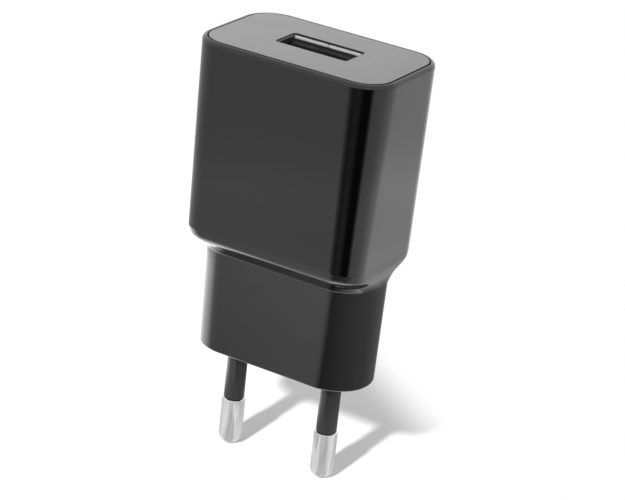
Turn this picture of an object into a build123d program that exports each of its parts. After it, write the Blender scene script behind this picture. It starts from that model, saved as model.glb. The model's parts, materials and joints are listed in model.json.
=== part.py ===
from build123d import *
from math import asin, atan2, hypot, sin, sqrt, tan
import os

# A mains to USB charger with two round pins, in millimetres.
# Origin: centre of the face that meets the wall socket, midway between the pins.
# +X along the row of pins, -Y towards the front, +Z from the pins towards the USB port.
# The board and the USB socket are drawn with their components towards -Y, as an assembly of
# their own, and turned half round about Z into the housing at the end (see BOARD_TURN).

# ---------- driving dimensions: housing ----------
PLUG_LOW = (32.0, 13.56, 6.73)    # width, depth and corner radius at the plug's face
PLUG_TOP = (32.45, 14.0, 6.73)    # the same at the crease
PLUG_EDGE_FILLET = 0.4
CREASE_Z = 17.86              # the underside slopes out from here, with a sharp crease
FLARE_START_Z = 19.0          # the round ends spread from here, slowly at first,
FLARE_BEND_Z = 20.35          # fastest here,
FLARE_END_Z = 21.1            # and are upright from here
SHOULDER_Z = 22.66            # the broad faces are upright from here
OVERHANG_RADIUS = 3.0         # rounding between a broad face and the slope below it
BLOCK_LOW = (32.88, 21.95, 4.4)   # width, depth and corner radius at the shoulder
BLOCK_TOP = (34.98, 22.24, 5.86)  # the same at the rim
TOP_Z = 54.5
RIM_FILLET = 0.7
UNDERSIDE_STEPS = 16
WALL = 1.8
TOP_WALL = 2.0
FLOOR = 2.2
HOLLOW_RISE = 0.3             # from the shoulder up to the floor of the block's hollow

# ---------- driving dimensions: face plate ----------
PLATE_WIDTH = 32.8
PLATE_DEPTH = 20.2
PLATE_CORNER = 4.6
PLATE_THICKNESS = 2.0
PLATE_GAP = 0.15              # all round the plate, inside the rim
PLATE_EDGE_FILLET = 0.2
PLATE_DROP = 0.05             # the plate sits this far below the rim
SKIRT_DEPTH = 2.4
SKIRT_WALL = 1.1
SKIRT_PLAY = 0.25

# ---------- driving dimensions: pins ----------
PIN_SPACING = 18.4
PIN_DIAMETER = 4.0
PIN_LENGTH = 19.0
PIN_SHANK_DIAMETER = 2.7      # the part inside the sleeve
PIN_FLANGE_DIAMETER = 5.4
PIN_FLANGE_THICKNESS = 1.0
PIN_TAIL_Z = 12.0
SLEEVE_DIAMETER = 3.5
SLEEVE_LENGTH = 10.45
COLLAR_ROOT_DIAMETER = 4.3
COLLAR_TIP_DIAMETER = 3.8
COLLAR_LENGTH = 1.8
SLEEVE_FLANGE_DIAMETER = 7.0
SLEEVE_FLANGE_THICKNESS = 1.2
HOLE_PLAY = 0.05              # between a sleeve and the hole in the housing floor
TOUCH = 0.02                  # the gap left between pieces that touch
CARRIER_WIDTH = 27.6
CARRIER_DEPTH = 9.4
CARRIER_CORNER = 4.5
CARRIER_THICKNESS = 3.0
STAKE_X = 3.2
STAKE_DIAMETER = 2.0

# ---------- driving dimensions: circuit board ----------
BOARD_FRONT_Y = 2.85
BOARD_THICKNESS = 1.0
BOARD_HALF_WIDTH = 14.2
BOARD_NECK_HALF_WIDTH = 11.4
BOARD_BOTTOM_Z = 10.5
BOARD_STEP_Z = 23.4
BOARD_TOP_Z = 49.6
LEAD_DIAMETER = 0.6
LEAD_HOLE_DIAMETER = 0.9
LEAD_PROUD = 0.6
RAIL_REACH = 1.5
RAIL_THICKNESS = 1.0

# ---------- driving dimensions: USB socket ----------
PORT_Y = 0.37                 # centre of the opening in the face plate
PORT_WIDTH = 13.2             # opening in the face plate
PORT_DEPTH = 6.05
PORT_CORNER = 0.6
SHELL_INNER_WIDTH = 12.5
SHELL_INNER_DEPTH = 5.12
SHELL_SHEET = 0.3
SHELL_CORNER = 0.5
SHELL_MOUTH_Z = 54.25
SHELL_LENGTH = 13.2
SEAM_WIDTH = 0.12
TONGUE_WIDTH = 11.1
TONGUE_THICKNESS = 1.84
TONGUE_GAP = 0.65             # between the tongue's back and the shell
TONGUE_RECESS = 0.6
SOCKET_BASE_HEIGHT = 4.2
CONTACT_XS = (-3.5, -1.0, 1.0, 3.5)
CONTACT_WIDTH = 1.0
CONTACT_SHEET = 0.22
CONTACT_BOW = 0.42            # how far a contact stands proud of the tongue
CONTACT_HINGE_Z = 45.9
CONTACT_CREST_Z = 51.2
GROOVE_WIDTH = 1.3
GROOVE_DEPTH = 1.1
SPRING_XS = (-3.4, 3.4)
SPRING_WIDTH = 1.8
SPRING_BOW = 0.35
SPRING_HINGE_Z = 46.6
SPRING_TIP_Z = 52.2
SPRING_SLOT = 0.25            # cut all round a spring in the shell

# ---------- places worked out from them ----------
BOARD_TURN = Rot(0, 0, 180)
USB_Y = -PORT_Y               # before the turn
BOARD_BACK_Y = BOARD_FRONT_Y + BOARD_THICKNESS
CARRIER_Z = FLOOR + SLEEVE_FLANGE_THICKNESS + TOUCH
PIN_XS = (-PIN_SPACING / 2, PIN_SPACING / 2)
SHELL_BACK_Z = SHELL_MOUTH_Z - SHELL_LENGTH
BASE_TOP_Z = SHELL_BACK_Z + SHELL_SHEET + SOCKET_BASE_HEIGHT
SHELL_BACK_WALL_Y = USB_Y + SHELL_INNER_DEPTH / 2
SHELL_FRONT_WALL_Y = USB_Y - SHELL_INNER_DEPTH / 2
TONGUE_BACK_Y = SHELL_FRONT_WALL_Y + TONGUE_GAP
TONGUE_FACE_Y = TONGUE_BACK_Y + TONGUE_THICKNESS
TONGUE_TOP_Z = SHELL_MOUTH_Z - TONGUE_RECESS


# ---------- small helpers ----------
def rounded_sheet(width, depth, corner, z, y=0.0):
    """A flat rounded rectangle, level at height z."""
    return Pos(0, y, z) * RectangleRounded(width, depth, corner)


def rounded_bar(width, depth, corner, low, high, y=0.0):
    """A vertical bar of rounded rectangular section between two heights."""
    return extrude(rounded_sheet(width, depth, corner, low, y), high - low)


def block(x, y, z):
    """A box from three (low, high) pairs."""
    size = (x[1] - x[0], y[1] - y[0], z[1] - z[0])
    return Pos(sum(x) / 2, sum(y) / 2, sum(z) / 2) * Box(*size)


def rod_z(x, y, low, high, diameter):
    return Pos(x, y, (low + high) / 2) * Cylinder(diameter / 2, high - low)


def rod_y(x, z, low, high, diameter):
    return Pos(x, (low + high) / 2, z) * Rot(90, 0, 0) * Cylinder(diameter / 2, high - low)


def rod_x(y, z, low, high, diameter):
    return Pos((low + high) / 2, y, z) * Rot(0, 90, 0) * Cylinder(diameter / 2, high - low)


def strip(points, thickness, x_centre, width):
    """A bent sheet strip: a centre line in the YZ plane, given a thickness and a width along X."""
    ribbon = trace(Polyline(*points), thickness)
    return extrude(Plane.YZ.offset(x_centre - width / 2) * ribbon, width)


def lead_through_board(x, z, start_y):
    """A straight round lead from a component through the board."""
    return rod_y(x, z, start_y, BOARD_BACK_Y + LEAD_PROUD, LEAD_DIAMETER)


def bent_lead(x, y, low_z, turn_z):
    """A lead that leaves a component along Z and turns into the board."""
    along = rod_z(x, y, min(low_z, turn_z), max(low_z, turn_z), LEAD_DIAMETER)
    knee = Pos(x, y, turn_z) * Sphere(LEAD_DIAMETER / 2)
    return along + knee + lead_through_board(x, turn_z, y)


# ---------- housing ----------
def overhang_angle():
    """The slope's angle from upright: it rises from the crease and touches the rounding above."""
    rise = SHOULDER_Z - CREASE_Z
    reach = BLOCK_LOW[1] / 2 - PLUG_TOP[1] / 2 - OVERHANG_RADIUS
    return atan2(reach, rise) + asin(OVERHANG_RADIUS / hypot(reach, rise))


def underside_depth(z):
    """Depth from front to back at height z: a straight slope, then the rounding."""
    below = SHOULDER_Z - z
    if below > OVERHANG_RADIUS * sin(overhang_angle()):
        return PLUG_TOP[1] + 2 * (z - CREASE_Z) * tan(overhang_angle())
    return BLOCK_LOW[1] - 2 * OVERHANG_RADIUS + 2 * sqrt(OVERHANG_RADIUS**2 - below**2)


def flare_share(z):
    """How far the round ends have moved out at height z, 0 to 1: two parabolas end to end."""
    height = FLARE_END_Z - FLARE_START_Z
    if z < FLARE_BEND_Z:
        return max(z - FLARE_START_Z, 0) ** 2 / (FLARE_BEND_Z - FLARE_START_Z) / height
    return 1 - max(FLARE_END_Z - z, 0) ** 2 / (FLARE_END_Z - FLARE_BEND_Z) / height


def underside_outline(z):
    flare = flare_share(z)
    width = PLUG_TOP[0] + (BLOCK_LOW[0] - PLUG_TOP[0]) * flare
    corner = PLUG_TOP[2] + (BLOCK_LOW[2] - PLUG_TOP[2]) * flare
    return width, underside_depth(z), corner


def outer_body():
    plug = loft([rounded_sheet(*PLUG_LOW, 0), rounded_sheet(*PLUG_TOP, CREASE_Z)])
    plug = fillet(plug.faces().sort_by(Axis.Z)[0].edges(), PLUG_EDGE_FILLET)
    step = (SHOULDER_Z - CREASE_Z) / UNDERSIDE_STEPS
    heights = [CREASE_Z + step * i for i in range(UNDERSIDE_STEPS + 1)]
    underside = loft([rounded_sheet(*underside_outline(z), z) for z in heights], ruled=True)
    upper = loft([rounded_sheet(*BLOCK_LOW, SHOULDER_Z), rounded_sheet(*BLOCK_TOP, TOP_Z)])
    upper = fillet(upper.faces().sort_by(Axis.Z)[-1].edges(), RIM_FILLET)
    return plug + underside + upper


def inner_space():
    """The hollow for the electronics, and the mouth that takes the face plate."""
    low_z = SHOULDER_Z + HOLLOW_RISE
    plate_seat_z = TOP_Z - PLATE_DROP - PLATE_THICKNESS
    plug_hollow = rounded_bar(*inset(PLUG_LOW, WALL), FLOOR, low_z)
    low = inset(BLOCK_LOW, WALL)
    high = inset(BLOCK_TOP, TOP_WALL)
    block_hollow = loft([rounded_sheet(*low, low_z), rounded_sheet(*high, plate_seat_z)])
    mouth = rounded_bar(
        PLATE_WIDTH + 2 * PLATE_GAP,
        PLATE_DEPTH + 2 * PLATE_GAP,
        PLATE_CORNER + PLATE_GAP,
        plate_seat_z,
        TOP_Z + 1,
    )
    return plug_hollow + block_hollow + mouth


def inset(outline, wall):
    """An outline moved inwards by a wall's thickness."""
    width, depth, corner = outline
    return width - 2 * wall, depth - 2 * wall, corner - wall


def board_rails():
    """Two pairs of ribs on the end walls that hold the board's edges."""
    outer = BLOCK_LOW[0] / 2 - WALL / 2
    inner = BLOCK_LOW[0] / 2 - WALL - RAIL_REACH
    front = (BOARD_FRONT_Y - 0.1 - RAIL_THICKNESS, BOARD_FRONT_Y - 0.1)
    back = (BOARD_BACK_Y + 0.1, BOARD_BACK_Y + 0.1 + RAIL_THICKNESS)
    height = (BOARD_STEP_Z - 2, BOARD_TOP_Z - 3)
    rails = []
    for side in (-1, 1):
        x = tuple(sorted((side * inner, side * outer)))
        rails += [block(x, front, height), block(x, back, height)]
    return [BOARD_TURN * rail for rail in rails]


def stake_posts():
    """Two posts from the housing floor, spread over the pin carrier as rivets."""
    carrier_top = CARRIER_Z + CARRIER_THICKNESS
    posts = []
    for x in (-STAKE_X, STAKE_X):
        posts.append(rod_z(x, 0, FLOOR - 0.5, carrier_top + 0.4, STAKE_DIAMETER))
        head = rod_z(x, 0, carrier_top + TOUCH, carrier_top + 0.9, 1.8 * STAKE_DIAMETER)
        posts.append(fillet(head.faces().sort_by(Axis.Z)[-1].edges(), 0.5))
    return posts


def make_housing():
    body = outer_body() - inner_space()
    for x in PIN_XS:
        body -= rod_z(x, 0, -1, FLOOR + 1, COLLAR_ROOT_DIAMETER + 2 * HOLE_PLAY)
    for piece in board_rails() + stake_posts():
        body += piece
    return body


# ---------- face plate ----------
def make_face_plate():
    top = TOP_Z - PLATE_DROP
    plate = rounded_bar(PLATE_WIDTH, PLATE_DEPTH, PLATE_CORNER, top - PLATE_THICKNESS + TOUCH, top)
    plate = fillet(plate.faces().sort_by(Axis.Z)[-1].edges(), PLATE_EDGE_FILLET)
    skirt_low = top - PLATE_THICKNESS - SKIRT_DEPTH
    skirt_high = top - PLATE_THICKNESS / 2
    outside = inset(BLOCK_TOP, TOP_WALL + SKIRT_PLAY)
    skirt = rounded_bar(*outside, skirt_low, skirt_high)
    skirt -= rounded_bar(*inset(outside, SKIRT_WALL), skirt_low - 1, skirt_high)
    plate += skirt
    plate -= rounded_bar(PORT_WIDTH, PORT_DEPTH, PORT_CORNER, skirt_low - 1, top + 1, PORT_Y)
    return plate


# ---------- pins ----------
def make_pin(x):
    """A turned pin: round-nosed head, a thinner shank through the sleeve, a flange and a tail."""
    head_top = -SLEEVE_LENGTH - TOUCH
    head = rod_z(x, 0, -PIN_LENGTH, head_top, PIN_DIAMETER)
    head = fillet(head.faces().sort_by(Axis.Z)[0].edges(), 0.42 * PIN_DIAMETER)
    head = chamfer(head.faces().sort_by(Axis.Z)[-1].edges(), 0.15)
    flange_low = FLOOR + SLEEVE_FLANGE_THICKNESS + TOUCH
    shank = rod_z(x, 0, head_top - 1, PIN_TAIL_Z, PIN_SHANK_DIAMETER)
    flange = rod_z(x, 0, flange_low, flange_low + PIN_FLANGE_THICKNESS, PIN_FLANGE_DIAMETER)
    return head + shank + flange


def make_sleeve(x):
    """The moulded insulating sleeve, with a tapered collar and a flange inside the housing."""
    profile = [
        (0, FLOOR + SLEEVE_FLANGE_THICKNESS),
        (SLEEVE_FLANGE_DIAMETER / 2, FLOOR + SLEEVE_FLANGE_THICKNESS),
        (SLEEVE_FLANGE_DIAMETER / 2, FLOOR + TOUCH),
        (COLLAR_ROOT_DIAMETER / 2, FLOOR + TOUCH),
        (COLLAR_ROOT_DIAMETER / 2, 0),
        (COLLAR_TIP_DIAMETER / 2, -COLLAR_LENGTH),
        (SLEEVE_DIAMETER / 2, -COLLAR_LENGTH),
        (SLEEVE_DIAMETER / 2, -SLEEVE_LENGTH + 0.15),
        (SLEEVE_DIAMETER / 2 - 0.15, -SLEEVE_LENGTH),
        (0, -SLEEVE_LENGTH),
    ]
    outline = make_face(Plane.XZ * Polyline(*profile, close=True))
    sleeve = Pos(x, 0, 0) * revolve(outline, Axis.Z)
    bore = PIN_SHANK_DIAMETER + 2 * TOUCH
    return sleeve - rod_z(x, 0, -SLEEVE_LENGTH - 1, CARRIER_Z, bore)


def make_pin_carrier():
    """The moulded block that traps both pins' flanges against the housing floor."""
    top = CARRIER_Z + CARRIER_THICKNESS
    carrier = rounded_bar(CARRIER_WIDTH, CARRIER_DEPTH, CARRIER_CORNER, CARRIER_Z, top)
    counterbore_top = CARRIER_Z + PIN_FLANGE_THICKNESS + 0.05
    for x in PIN_XS:
        carrier -= rod_z(x, 0, CARRIER_Z - 1, top + 1, PIN_SHANK_DIAMETER + 0.3)
        carrier -= rod_z(x, 0, CARRIER_Z - 1, counterbore_top, PIN_FLANGE_DIAMETER + 0.2)
    for x in (-STAKE_X, STAKE_X):
        carrier -= rod_z(x, 0, CARRIER_Z - 1, top + 1, STAKE_DIAMETER + 0.2)
    return carrier


def make_mains_contact(x):
    """A leaf soldered to the board that presses on the tail of a pin."""
    on_board = BOARD_FRONT_Y - TOUCH - LEAF_SHEET / 2
    on_pin = PIN_SHANK_DIAMETER / 2 + TOUCH + LEAF_SHEET / 2
    lead_in = on_pin + 0.5
    points = [(on_board, 18), (on_board, 13.6), (on_pin, 11.2), (on_pin, 9.6), (lead_in, 8.6)]
    return strip(points, LEAF_SHEET, x, LEAF_WIDTH)


# ---------- circuit board ----------
TRANSFORMER_LEAD_XS = (-5.0, 0.0, 5.0)
TRANSFORMER_LEAD_ZS = (25.6, 37.6)
CAPACITOR_X = 10.4
INPUT_CAPACITOR = (25.2, 8.0)     # lower end and diameter
OUTPUT_CAPACITOR = (38.4, 6.3)
CAPACITOR_LEAD_SPREAD = 1.75
OUTPUT_LEAD_SPREAD = 1.25
CAPACITOR_LEAD_Z = 24.4
OUTPUT_LEAD_Z = 37.6
SAFETY_LEADS = ((-11.2, 40.5), (-11.2, 47.0))
CHOKE_LEADS = ((-5.6, 13.0), (-2.4, 13.0))
FUSE_LEADS = ((4.6, 12.2), (4.6, 21.4))
SHELL_LEG_XS = (-6.4, 6.4)
SHELL_LEG_Z = 47.0
TAIL_Z = 42.0
RESISTOR_PLACES = ((-6.2, 30.0), (-6.2, 34.0), (9.0, 30.0), (-4.0, 45.0), (4.0, 45.0))
CHIP_CAPACITOR_PLACES = ((-10.5, 34.5), (9.0, 34.0), (0.0, 45.0), (11.5, 28.0))
CHIP_RESISTOR_SIZE = (1.25, 0.5, 2.0)
CHIP_CAPACITOR_SIZE = (1.25, 0.9, 2.0)
SHELL_LEG_HOLE = (1.0, 2.2)       # across X and Z
GAP_SLOT_X = (-13.0, 7.0)         # the slot between the mains side and the USB side
GAP_SLOT_Z = (38.9, 39.9)
SOLDER_ROOT_DIAMETER = 1.5
SOLDER_TIP_DIAMETER = 0.84
SOLDER_HEIGHT = 0.5
LEAF_SHEET = 0.3
LEAF_WIDTH = 4.0


def lead_places():
    """Every point, as (x, z), where a round lead passes through the board."""
    places = [(x, z) for x in TRANSFORMER_LEAD_XS for z in TRANSFORMER_LEAD_ZS]
    for side in (-1, 1):
        for spread in (-CAPACITOR_LEAD_SPREAD, CAPACITOR_LEAD_SPREAD):
            places.append((side * CAPACITOR_X + spread, CAPACITOR_LEAD_Z))
    for spread in (-OUTPUT_LEAD_SPREAD, OUTPUT_LEAD_SPREAD):
        places.append((CAPACITOR_X + spread, OUTPUT_LEAD_Z))
    places += SAFETY_LEADS
    places += CHOKE_LEADS
    places += FUSE_LEADS
    return places


def make_main_board():
    y = (BOARD_FRONT_Y, BOARD_BACK_Y)
    half, neck = BOARD_HALF_WIDTH, BOARD_NECK_HALF_WIDTH
    board = block((-half, half), y, (BOARD_STEP_Z, BOARD_TOP_Z))
    board += block((-neck, neck), y, (BOARD_BOTTOM_Z, BOARD_STEP_Z))
    # the slot that lengthens the surface path between the mains side and the USB side
    through = (y[0] - 1, y[1] + 1)
    board -= block(GAP_SLOT_X, through, GAP_SLOT_Z)
    for x, z in lead_places() + [(x, TAIL_Z) for x in CONTACT_XS]:
        board -= rod_y(x, z, *through, LEAD_HOLE_DIAMETER)
    half_x, half_z = (size / 2 for size in SHELL_LEG_HOLE)
    for x in SHELL_LEG_XS:
        board -= block((x - half_x, x + half_x), through, (SHELL_LEG_Z - half_z, SHELL_LEG_Z + half_z))
    return board


def make_solder_joints():
    """A solder cone round every lead on the back of the board."""
    joints = []
    places = lead_places() + [(x, TAIL_Z) for x in CONTACT_XS]
    for x, z in places:
        low = BOARD_BACK_Y + TOUCH
        cone = Cone(SOLDER_ROOT_DIAMETER / 2, SOLDER_TIP_DIAMETER / 2, SOLDER_HEIGHT)
        cone = Pos(x, low + SOLDER_HEIGHT / 2, z) * Rot(-90, 0, 0) * cone
        joints.append(cone - rod_y(x, z, low - 1, low + 2, LEAD_DIAMETER + 2 * TOUCH))
    return Compound(children=joints)


# ---------- mains side components ----------
FUSE_OFF_BOARD = 1.9              # from the board to the resistor's axis
FUSE_DIAMETER = 2.9
FUSE_END_DIAMETER = 3.3
FUSE_END_LENGTH = 1.5
FUSE_LEAD_BEND = 1.3              # from a lead's hole to the end of the resistor
CHOKE_OFF_BOARD = 0.5
CHOKE_ABOVE_LEADS = 3.2
CHOKE_DRUM_DIAMETER = 4.0
CHOKE_FLANGE_DIAMETER = 5.6
CHOKE_WINDING_DIAMETER = 5.3
CHOKE_LENGTH = 5.6
CHOKE_FLANGE = 0.8
CAN_OFF_BOARD = 0.3
CAN_EDGE_FILLET = 0.5
CAN_GROOVE_Z = 1.6
CAN_GROOVE_RADIUS = 0.5
CAN_RECESS_DEPTH = 0.2
CAN_RECESS_MARGIN = 1.2           # from the can's side to the recess in its top
CHIP_OFF_BOARD = 0.1
# The flat packages on the back of the board: x, thickness and z.
BRIDGE_RECTIFIER = ((-12.9, -8.1), 2.3, (27.0, 30.8))
CONTROLLER_CHIP = ((-3.2, 1.8), 1.5, (29.0, 32.9))
CLAMP_DIODE = ((4.2, 6.7), 2.0, (28.6, 33.0))
OUTPUT_DIODE = ((8.6, 12.9), 2.2, (41.0, 44.6))


def make_fusible_resistor():
    """A flameproof resistor that also serves as the fuse, lying along the board."""
    x = FUSE_LEADS[0][0]
    y = BOARD_FRONT_Y - FUSE_OFF_BOARD
    low = FUSE_LEADS[0][1] + FUSE_LEAD_BEND
    high = FUSE_LEADS[1][1] - FUSE_LEAD_BEND
    body = rod_z(x, y, low, high, FUSE_DIAMETER)
    body += rod_z(x, y, low, low + FUSE_END_LENGTH, FUSE_END_DIAMETER)
    body += rod_z(x, y, high - FUSE_END_LENGTH, high, FUSE_END_DIAMETER)
    faces = body.faces().sort_by(Axis.Z)
    return fillet(faces[0].edges() + faces[-1].edges(), 0.5)


def choke_place():
    """The choke's axis as (x, z), and its two ends along Y."""
    x = (CHOKE_LEADS[0][0] + CHOKE_LEADS[1][0]) / 2
    high = BOARD_FRONT_Y - CHOKE_OFF_BOARD
    return x, CHOKE_LEADS[0][1] + CHOKE_ABOVE_LEADS, high - CHOKE_LENGTH, high


def make_choke_core():
    """A drum choke standing off the board on its two leads."""
    x, z, low, high = choke_place()
    drum = rod_y(x, z, low, high, CHOKE_DRUM_DIAMETER)
    drum += rod_y(x, z, low, low + CHOKE_FLANGE, CHOKE_FLANGE_DIAMETER)
    drum += rod_y(x, z, high - CHOKE_FLANGE, high, CHOKE_FLANGE_DIAMETER)
    return drum


def make_choke_winding():
    x, z, low, high = choke_place()
    ends = (low + CHOKE_FLANGE + TOUCH, high - CHOKE_FLANGE - TOUCH)
    coil = rod_y(x, z, *ends, CHOKE_WINDING_DIAMETER)
    return coil - rod_y(x, z, low - 1, high + 1, CHOKE_DRUM_DIAMETER + 2 * TOUCH)


def make_electrolytic(x, low, diameter, length):
    """A capacitor can lying along Z: rolled groove at the lead end, shallow recess at the top."""
    y = BOARD_FRONT_Y - CAN_OFF_BOARD - diameter / 2
    high = low + length
    can = rod_z(x, y, low, high, diameter)
    can = fillet(can.edges().filter_by(GeomType.CIRCLE), CAN_EDGE_FILLET)
    groove = Torus(diameter / 2 + 0.3 * CAN_GROOVE_RADIUS, CAN_GROOVE_RADIUS)
    recess_diameter = diameter - 2 * CAN_RECESS_MARGIN
    recess = rod_z(x, y, high - CAN_RECESS_DEPTH, high + CAN_RECESS_DEPTH, recess_diameter)
    return can - Pos(x, y, low + CAN_GROOVE_Z) * groove - recess


def make_package(x, thickness, z, off_board=CHIP_OFF_BOARD):
    """A flat moulded package on the back of the board."""
    low = BOARD_BACK_Y + off_board
    return block(x, (low, low + thickness), z)


# ---------- transformer ----------
CORE_X = 6.4
CORE_Y = (-8.0, 1.8)
CORE_Z = (26.6, 36.6)
CORE_LIMB = 2.6                   # the middle limb, across Y
CORE_HALF_HEIGHT = 2.4
CORE_SIDE_LIMB = 1.5
CORE_BACK = 1.9                   # the wall that joins the three limbs of one half
BOBBIN_PLAY = 0.1                 # between the coil former and the core's middle limb
BOBBIN_WALL = 0.6
BOBBIN_CHEEK = 0.6
BOBBIN_CHEEK_REACH = 1.9          # from the middle limb to the cheeks' rim
RAIL_OVERHANG = 1.4               # how far a pin rail reaches past the cheeks
RAIL_HALF_HEIGHT = 1.0
RAIL_LINK_Y = 0.2
RAIL_LINK_Z = (2.6, 6.0)          # from the middle, either way
# How far each layer reaches from the middle limb, and its margin to the cheeks.
PRIMARY_WINDING = (BOBBIN_PLAY + BOBBIN_WALL + TOUCH, 1.15, 0.15)
SECONDARY_WINDING = (1.15 + 2 * TOUCH, 1.5, 0.3)
WINDING_TAPE = (1.5 + 2 * TOUCH, 1.6 + 2 * TOUCH, 0.1)


def make_transformer_core():
    """Two E-shaped ferrite halves that meet inside the bobbin; limbs run along X."""
    halves = []
    middle_y = sum(CORE_Y) / 2
    middle_z = sum(CORE_Z) / 2
    for side in (-1, 1):
        x = tuple(sorted((side * TOUCH, side * CORE_X)))
        half = block(x, CORE_Y, (middle_z - CORE_HALF_HEIGHT, middle_z + CORE_HALF_HEIGHT))
        window_x = tuple(sorted((-side, side * (CORE_X - CORE_BACK))))
        limb = CORE_LIMB / 2
        half -= block(window_x, (CORE_Y[0] + CORE_SIDE_LIMB, middle_y - limb), CORE_Z)
        half -= block(window_x, (middle_y + limb, CORE_Y[1] - CORE_SIDE_LIMB), CORE_Z)
        halves.append(half)
    return Compound(children=halves)


def bobbin_section(grow, x):
    """A tube section round the core's middle limb, grown outwards by grow, between two x places."""
    middle_y = sum(CORE_Y) / 2
    middle_z = sum(CORE_Z) / 2
    half_y = CORE_LIMB / 2 + grow
    half_z = CORE_HALF_HEIGHT + grow
    return block(x, (middle_y - half_y, middle_y + half_y), (middle_z - half_z, middle_z + half_z))


def make_transformer_bobbin():
    """The coil former: a tube on the core's middle limb with a cheek at each end and two pin rails."""
    half = CORE_X - CORE_BACK - TOUCH
    cheeks = [tuple(sorted((side * half, side * (half - BOBBIN_CHEEK)))) for side in (-1, 1)]
    tube = bobbin_section(BOBBIN_PLAY + BOBBIN_WALL, (-half, half))
    for x in cheeks:
        tube += bobbin_section(BOBBIN_CHEEK_REACH, x)
    tube -= bobbin_section(BOBBIN_PLAY, (-half - 1, half + 1))
    rail_x = (-half - RAIL_OVERHANG, half + RAIL_OVERHANG)
    rail_y = (CORE_Y[1] + BOBBIN_PLAY, BOARD_FRONT_Y - BOBBIN_PLAY)
    for z in TRANSFORMER_LEAD_ZS:
        tube += block(rail_x, rail_y, (z - RAIL_HALF_HEIGHT, z + RAIL_HALF_HEIGHT))
    middle_z = sum(CORE_Z) / 2
    for x in cheeks:
        for side in (-1, 1):
            z = tuple(sorted(middle_z + side * reach for reach in RAIL_LINK_Z))
            tube += block(x, (RAIL_LINK_Y, rail_y[1]), z)
    return tube


def winding(inner, outer, margin):
    """One layer of winding on the bobbin, as a rectangular tube with its own clearance."""
    half = CORE_X - CORE_BACK - TOUCH - BOBBIN_CHEEK - margin
    coil = bobbin_section(outer, (-half, half))
    return coil - bobbin_section(inner, (-half - 1, half + 1))


# ---------- USB side components ----------
SAFETY_DISC_Y = -1.4
SAFETY_DISC_DIAMETER = 7.4
SAFETY_DISC_HALF_THICKNESS = 1.5
SAFETY_DISC_FILLET = 1.0
SAFETY_LEAD_REACH = 1.6           # how far the disc's leads come out of the board towards it
CARD_X = (-12.0, 6.0)
CARD_DEPTH_Y = -8.0
CARD_Z = (39.2, 39.5)


def make_safety_capacitor():
    """A disc capacitor that bridges the mains side and the USB side."""
    x = SAFETY_LEADS[0][0]
    z = (SAFETY_LEADS[0][1] + SAFETY_LEADS[1][1]) / 2
    ends = (x - SAFETY_DISC_HALF_THICKNESS, x + SAFETY_DISC_HALF_THICKNESS)
    disc = rod_x(SAFETY_DISC_Y, z, *ends, SAFETY_DISC_DIAMETER)
    return fillet(disc.edges().filter_by(GeomType.CIRCLE), SAFETY_DISC_FILLET)


def make_chip_parts(places, size):
    """Small surface-mounted parts on the back of the board, as separate blocks."""
    chips = []
    for x, z in places:
        chip = block(
            (x - size[0] / 2, x + size[0] / 2),
            (BOARD_BACK_Y + TOUCH, BOARD_BACK_Y + TOUCH + size[1]),
            (z - size[2] / 2, z + size[2] / 2),
        )
        chips.append(chip)
    return Compound(children=chips)


def make_insulation_sheet():
    """A card between the metal USB shell and the transformer, standing on the board's slot."""
    return block(CARD_X, (CARD_DEPTH_Y, BOARD_FRONT_Y - TOUCH), CARD_Z)


def make_component_leads():
    """Every round tinned lead between a component and the back of the board."""
    leads = []
    for x in TRANSFORMER_LEAD_XS:
        for z in TRANSFORMER_LEAD_ZS:
            leads.append(lead_through_board(x, z, BOARD_FRONT_Y - BOBBIN_PLAY + TOUCH))
    low, diameter = INPUT_CAPACITOR
    y = BOARD_FRONT_Y - CAN_OFF_BOARD - diameter / 2
    for side in (-1, 1):
        for spread in (-CAPACITOR_LEAD_SPREAD, CAPACITOR_LEAD_SPREAD):
            leads.append(bent_lead(side * CAPACITOR_X + spread, y, low - TOUCH, CAPACITOR_LEAD_Z))
    low, diameter = OUTPUT_CAPACITOR
    y = BOARD_FRONT_Y - CAN_OFF_BOARD - diameter / 2
    for spread in (-OUTPUT_LEAD_SPREAD, OUTPUT_LEAD_SPREAD):
        leads.append(bent_lead(CAPACITOR_X + spread, y, low - TOUCH, OUTPUT_LEAD_Z))
    for x, z in SAFETY_LEADS:
        leads.append(lead_through_board(x, z, BOARD_FRONT_Y - SAFETY_LEAD_REACH))
    for x, z in CHOKE_LEADS:
        leads.append(lead_through_board(x, z, BOARD_FRONT_Y - CHOKE_OFF_BOARD + 0.1))
    for (x, z), side in zip(FUSE_LEADS, (1, -1)):
        end_z = z + side * (FUSE_LEAD_BEND - TOUCH)
        leads.append(bent_lead(x, BOARD_FRONT_Y - FUSE_OFF_BOARD, end_z, z))
    return Compound(children=leads)


# ---------- USB socket ----------
def shell_bar(grow, low, high):
    corner = SHELL_CORNER + grow - SHELL_SHEET
    width, depth = SHELL_INNER_WIDTH + 2 * grow, SHELL_INNER_DEPTH + 2 * grow
    return rounded_bar(width, depth, corner, low, high, USB_Y)


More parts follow.
